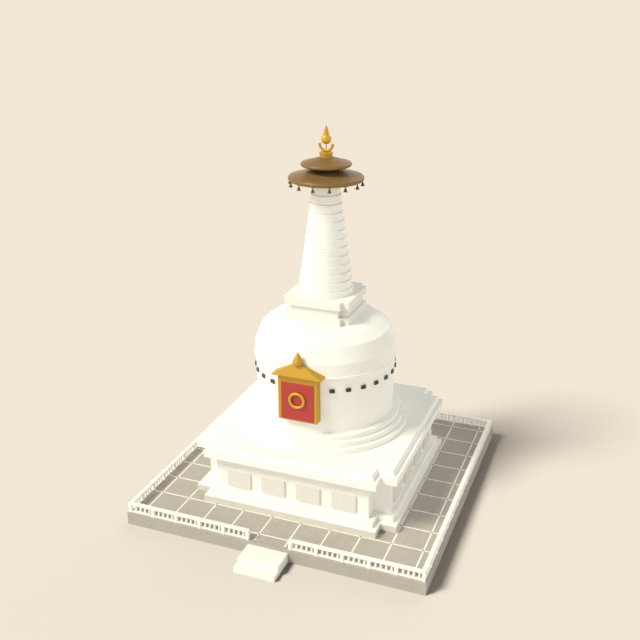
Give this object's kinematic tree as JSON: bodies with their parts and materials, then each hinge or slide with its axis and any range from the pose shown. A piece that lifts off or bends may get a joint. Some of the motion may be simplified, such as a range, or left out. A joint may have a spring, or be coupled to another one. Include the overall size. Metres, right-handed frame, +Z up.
{
  "type": "stupa",
  "caption": "White bottle-shaped Buddhist stupa on a square railed terrace, with stepped plinth, gilt niche, ringed spire, round canopies with hanging bells and a gilt finial.",
  "frame": {"origin": "centre of the tower's axis on the ground, in the underside of the terrace", "axes": "+Z up; -Y is the front, with the stair and the gilt niche; +X is to the right seen from the front"},
  "size_m": [28.88, 31.87, 35.9],
  "materials": {
    "whitewash": "matt lime wash over masonry",
    "grey_stone": "matt grey-beige paving and facing stone",
    "pale_stone": "matt pale carved stone",
    "gilt_metal": "gilded metal, satin",
    "red_lacquer": "red lacquer on wood, satin",
    "dark_bronze": "brown bronze, satin"
  },
  "bodies": {
    "tower": {"terrace": "grey_stone", "stair_step_1": "pale_stone", "stair_step_2": "pale_stone", "balustrade_front_left": "pale_stone", "balustrade_front_right": "pale_stone", "balustrade_left": "pale_stone", "balustrade_right": "pale_stone", "balustrade_back": "pale_stone", "plinth_foot": "whitewash", "plinth_moulding": "whitewash", "plinth_waist": "whitewash", "plinth_cornice": "whitewash", "plinth_upper_slab": "whitewash", "round_course_1": "whitewash", "round_course_2": "whitewash", "round_course_3": "whitewash", "drum": "whitewash", "shoulder_band": "whitewash", "dome": "whitewash", "block_base": "whitewash", "block_waist": "whitewash", "block_cap": "whitewash", "spire_rings": "whitewash", "niche_surround": "gilt_metal", "niche_ring": "gilt_metal", "niche_roof": "gilt_metal", "niche_spike": "gilt_metal", "finial_collar": "gilt_metal", "finial_moon": "gilt_metal", "finial_sun": "gilt_metal", "finial_flame": "gilt_metal", "niche_panel": "red_lacquer", "lower_canopy": "dark_bronze", "upper_canopy": "dark_bronze"},
    "bell_01": {"bell_01": "dark_bronze"},
    "bell_02": {"bell_02": "dark_bronze"},
    "bell_03": {"bell_03": "dark_bronze"},
    "bell_04": {"bell_04": "dark_bronze"},
    "bell_05": {"bell_05": "dark_bronze"},
    "bell_06": {"bell_06": "dark_bronze"},
    "bell_07": {"bell_07": "dark_bronze"},
    "bell_08": {"bell_08": "dark_bronze"},
    "bell_09": {"bell_09": "dark_bronze"},
    "bell_10": {"bell_10": "dark_bronze"},
    "bell_11": {"bell_11": "dark_bronze"},
    "bell_12": {"bell_12": "dark_bronze"},
    "bell_13": {"bell_13": "dark_bronze"},
    "bell_14": {"bell_14": "dark_bronze"}
  },
  "joints": [
    {"name": "bell_01_swing", "type": "hinge", "parent": "tower", "child": "bell_01", "pos_m": [0, -3.32, 30.9403], "axis": [1, 0, 0], "range_deg": [-30, 30]},
    {"name": "bell_02_swing", "type": "hinge", "parent": "tower", "child": "bell_02", "pos_m": [1.4405, -2.9912, 30.9403], "axis": [0.901, 0.4339, 0], "range_deg": [-30, 30]},
    {"name": "bell_03_swing", "type": "hinge", "parent": "tower", "child": "bell_03", "pos_m": [2.5957, -2.07, 30.9403], "axis": [0.6235, 0.7818, 0], "range_deg": [-30, 30]},
    {"name": "bell_04_swing", "type": "hinge", "parent": "tower", "child": "bell_04", "pos_m": [3.2368, -0.7388, 30.9403], "axis": [0.2225, 0.9749, 0], "range_deg": [-30, 30]},
    {"name": "bell_05_swing", "type": "hinge", "parent": "tower", "child": "bell_05", "pos_m": [3.2368, 0.7388, 30.9403], "axis": [-0.2225, 0.9749, 0], "range_deg": [-30, 30]},
    {"name": "bell_06_swing", "type": "hinge", "parent": "tower", "child": "bell_06", "pos_m": [2.5957, 2.07, 30.9403], "axis": [-0.6235, 0.7818, 0], "range_deg": [-30, 30]},
    {"name": "bell_07_swing", "type": "hinge", "parent": "tower", "child": "bell_07", "pos_m": [1.4405, 2.9912, 30.9403], "axis": [-0.901, 0.4339, 0], "range_deg": [-30, 30]},
    {"name": "bell_08_swing", "type": "hinge", "parent": "tower", "child": "bell_08", "pos_m": [0, 3.32, 30.9403], "axis": [-1, 0, 0], "range_deg": [-30, 30]},
    {"name": "bell_09_swing", "type": "hinge", "parent": "tower", "child": "bell_09", "pos_m": [-1.4405, 2.9912, 30.9403], "axis": [-0.901, -0.4339, 0], "range_deg": [-30, 30]},
    {"name": "bell_10_swing", "type": "hinge", "parent": "tower", "child": "bell_10", "pos_m": [-2.5957, 2.07, 30.9403], "axis": [-0.6235, -0.7818, 0], "range_deg": [-30, 30]},
    {"name": "bell_11_swing", "type": "hinge", "parent": "tower", "child": "bell_11", "pos_m": [-3.2368, 0.7388, 30.9403], "axis": [-0.2225, -0.9749, 0], "range_deg": [-30, 30]},
    {"name": "bell_12_swing", "type": "hinge", "parent": "tower", "child": "bell_12", "pos_m": [-3.2368, -0.7388, 30.9403], "axis": [0.2225, -0.9749, 0], "range_deg": [-30, 30]},
    {"name": "bell_13_swing", "type": "hinge", "parent": "tower", "child": "bell_13", "pos_m": [-2.5957, -2.07, 30.9403], "axis": [0.6235, -0.7818, 0], "range_deg": [-30, 30]},
    {"name": "bell_14_swing", "type": "hinge", "parent": "tower", "child": "bell_14", "pos_m": [-1.4405, -2.9912, 30.9403], "axis": [0.901, -0.4339, 0], "range_deg": [-30, 30]}
  ]
}
